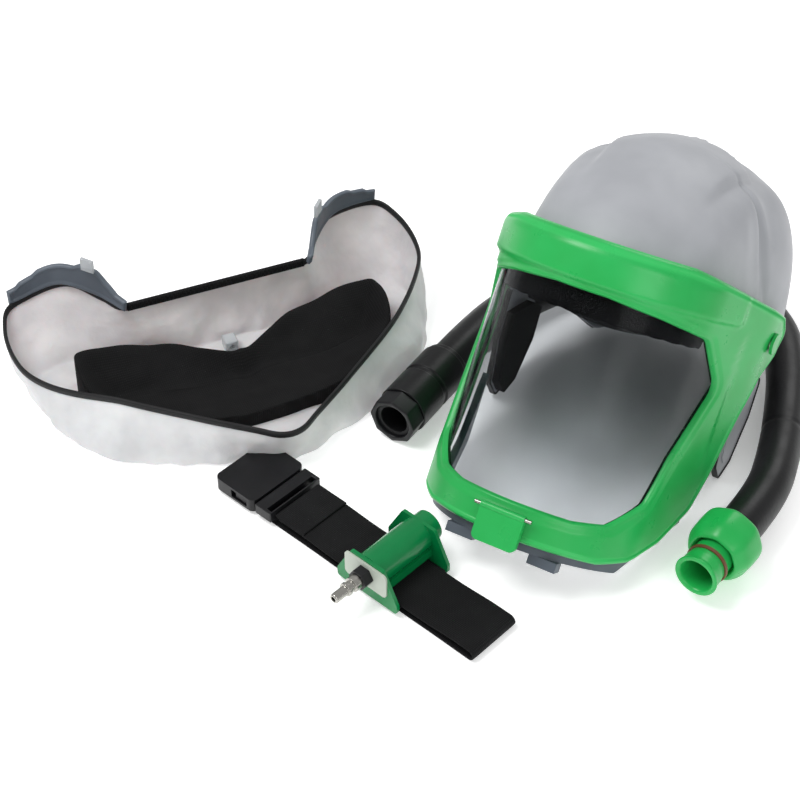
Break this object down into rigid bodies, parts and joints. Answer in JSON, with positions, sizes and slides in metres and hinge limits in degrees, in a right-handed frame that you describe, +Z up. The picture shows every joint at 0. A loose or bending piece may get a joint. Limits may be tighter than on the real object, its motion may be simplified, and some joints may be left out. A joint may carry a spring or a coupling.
{
  "type": "supplied-air respirator kit",
  "caption": "Air-fed respirator kit: helmet with flip-up green visor, breathing tube, waist belt with flow valve and a fabric face seal, laid out flat.",
  "frame": {"origin": "centre of the kit on the floor", "axes": "+Z up, the helmet faces -Y, +X is the wearer's left"},
  "size_m": [0.6957, 0.5351, 0.2504],
  "materials": {
    "shell_grey": "satin",
    "black_rubber": "matte",
    "foam_black": "matte",
    "black_plastic": "satin",
    "black_webbing": "woven",
    "dark_grey_plastic": "satin",
    "steel": "brushed",
    "green_plastic": "gloss",
    "valve_green": "gloss",
    "clear_lens": "clear",
    "hose_black": "satin",
    "brown_rubber": "satin",
    "sintered": "sintered",
    "white_plastic": "matte",
    "brass": "turned",
    "seal_white": "coated",
    "knit_black": "knit",
    "clip_clear": "satin"
  },
  "bodies": {
    "helmet": {"air_duct": "black_plastic", "brow_seal": "foam_black", "cheek_lining_left": "foam_black", "cheek_lining_right": "foam_black", "crown_straps": "black_webbing", "face_frame": "dark_grey_plastic", "guard_trims": "black_rubber", "headband": "black_plastic", "helmet_shell": "shell_grey", "impact_liner": "foam_black", "inlet_seal": "black_rubber", "inlet_spigot": "black_plastic", "pivot_caps": "green_plastic", "pivot_pins": "steel", "pivot_washers": "black_plastic", "ratchet_housing": "black_plastic", "shell_edge_trim": "black_rubber", "side_guard_left": "shell_grey", "side_guard_right": "shell_grey", "strap_keys": "black_plastic", "sweat_pad": "foam_black"},
    "visor": {"visor_frame": "green_plastic", "visor_lens": "clear_lens", "lens_gasket": "black_rubber", "latch_pin": "steel"},
    "visor_latch": {"visor_latch": "green_plastic"},
    "ratchet_knob": {"ratchet_knob": "black_plastic"},
    "band_tail_left": {"headband_tail_left": "black_plastic"},
    "band_tail_right": {"headband_tail_right": "black_plastic"},
    "breathing_tube": {"breathing_tube": "hose_black", "tube_cuff": "hose_black", "cuff_seal": "black_rubber", "coupling_nozzle": "green_plastic", "nozzle_ring": "brown_rubber"},
    "cuff_collar": {"cuff_collar": "black_plastic"},
    "coupling_nut": {"coupling_nut": "green_plastic"},
    "belt": {"belt_webbing": "black_webbing", "sewn_end": "black_webbing", "buckle_female": "black_plastic", "buckle_male": "black_plastic"},
    "buckle_arm_rear": {"buckle_arm_rear": "black_plastic"},
    "buckle_arm_front": {"buckle_arm_front": "black_plastic"},
    "flow_valve": {"valve_body": "valve_green", "valve_clip": "black_plastic", "valve_outlet": "valve_green", "valve_silencer": "sintered", "valve_end_plate": "white_plastic", "valve_orifice": "brass", "hex_collar": "black_plastic", "air_plug": "steel"},
    "face_seal": {"seal_fabric": "seal_white", "neck_cuff": "knit_black", "seal_rim": "black_rubber", "seal_zip": "black_webbing", "seal_bracket_left": "dark_grey_plastic", "seal_bracket_right": "dark_grey_plastic", "cord_toggle": "clip_clear"},
    "clip_left": {"bracket_clip_left": "clip_clear"},
    "clip_right": {"bracket_clip_right": "clip_clear"}
  },
  "joints": [
    {"name": "visor_lift", "type": "hinge", "parent": "helmet", "child": "visor", "pos_m": [0.1967, 0.0888, 0.112], "axis": [-1, 0, 0], "range_deg": [0, 62]},
    {"name": "latch_press", "type": "hinge", "parent": "visor", "child": "visor_latch", "pos_m": [0.1967, -0.15548, 0.07208], "axis": [-1, 0, 0], "range_deg": [0, 14], "stiffness_Nm_per_rad": 0.05, "springref_deg": -11.46},
    {"name": "ratchet_turn", "type": "hinge", "parent": "helmet", "child": "ratchet_knob", "pos_m": [0.1967, 0.19989, 0.08859], "axis": [0, 0.9397, -0.342], "range_deg": [-90, 90]},
    {"name": "tail_left_slide", "type": "slide", "parent": "helmet", "child": "band_tail_left", "axis": [1, 0, 0], "range_m": [-0.008, 0.008]},
    {"name": "tail_right_slide", "type": "slide", "parent": "helmet", "child": "band_tail_right", "axis": [1, 0, 0], "range_m": [-0.008, 0.008]},
    {"name": "tube_pull", "type": "slide", "parent": "helmet", "child": "breathing_tube", "axis": [0, 1, 0], "range_m": [0, 0.05]},
    {"name": "collar_turn", "type": "hinge", "parent": "breathing_tube", "child": "cuff_collar", "pos_m": [0.04437, -0.05463, 0.0225], "axis": [-0.0416, -0.9991, 0], "continuous": true},
    {"name": "nut_turn", "type": "hinge", "parent": "breathing_tube", "child": "coupling_nut", "pos_m": [0.34532, -0.06255, 0.02859], "axis": [-0.1191, -0.9924, 0.0298], "continuous": true},
    {"name": "belt_pull", "type": "slide", "parent": "helmet", "child": "belt", "axis": [-0.2215, -0.9751, 0], "range_m": [0, 0.05]},
    {"name": "valve_slide", "type": "slide", "parent": "belt", "child": "flow_valve", "axis": [0.9751, -0.2215, 0], "range_m": [-0.03, 0]},
    {"name": "buckle_press_rear", "type": "hinge", "parent": "belt", "child": "buckle_arm_rear", "pos_m": [0.00018, -0.15224, 0.0097], "axis": [0, 0, 1], "range_deg": [0, 6], "stiffness_Nm_per_rad": 0.2, "springref_deg": -2.86},
    {"name": "buckle_press_front", "type": "hinge", "parent": "belt", "child": "buckle_arm_front", "pos_m": [-0.00736, -0.18539, 0.0097], "axis": [0, 0, -1], "range_deg": [0, 6], "stiffness_Nm_per_rad": 0.2, "springref_deg": -2.86},
    {"name": "seal_lift", "type": "slide", "parent": "helmet", "child": "face_seal", "axis": [0, 0, 1], "range_m": [0, 0.06]},
    {"name": "clip_left_turn", "type": "hinge", "parent": "face_seal", "child": "clip_left", "pos_m": [-0.12043, 0.08577, 0.08533], "axis": [-0.1872, 0.9805, 0.0593], "range_deg": [-20, 20]},
    {"name": "clip_right_turn", "type": "hinge", "parent": "face_seal", "child": "clip_right", "pos_m": [-0.25072, -0.0865, 0.08533], "axis": [0.9945, 0.0868, -0.0593], "range_deg": [-20, 20]}
  ],
  "couplings": [
    {"joint": "tail_left_slide", "follows": "ratchet_turn", "m_per_rad": 0.005},
    {"joint": "tail_right_slide", "follows": "ratchet_turn", "m_per_rad": -0.005}
  ]
}
